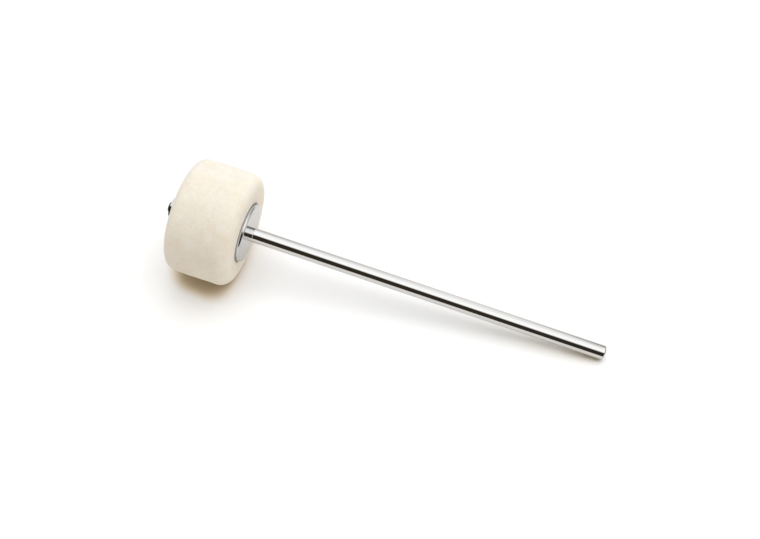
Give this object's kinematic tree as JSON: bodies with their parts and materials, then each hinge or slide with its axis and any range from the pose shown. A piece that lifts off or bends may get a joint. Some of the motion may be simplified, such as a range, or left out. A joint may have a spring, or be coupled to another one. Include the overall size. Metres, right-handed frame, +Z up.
{
  "type": "felt drum beater",
  "caption": "Round felt head clamped on the stepped end of a plain round plated shaft by a large washer and a hexagon nut.",
  "frame": {"origin": "centre of the shaft's free end face", "axes": "+X along the shaft's axis from the head to the free end, so the head lies towards -X; +Z up"},
  "size_m": [0.1979, 0.0512, 0.0512],
  "materials": {
    "shaft_chrome": "bright chrome plate on steel",
    "washer_chrome": "bright nickel-chrome plate on pressed steel",
    "felt": "hard pressed wool felt, cream white",
    "zinc_plate": "bright zinc plate"
  },
  "bodies": {
    "shaft": {"shaft": "shaft_chrome", "shaft_washer": "washer_chrome", "nut_washer": "zinc_plate", "lock_washer": "zinc_plate", "hex_nut": "zinc_plate"},
    "head": {"felt_head": "felt"}
  },
  "joints": [
    {"name": "head_turn", "type": "hinge", "parent": "shaft", "child": "head", "pos_m": [-0.1765, 0, 0], "axis": [1, 0, 0], "continuous": true}
  ]
}
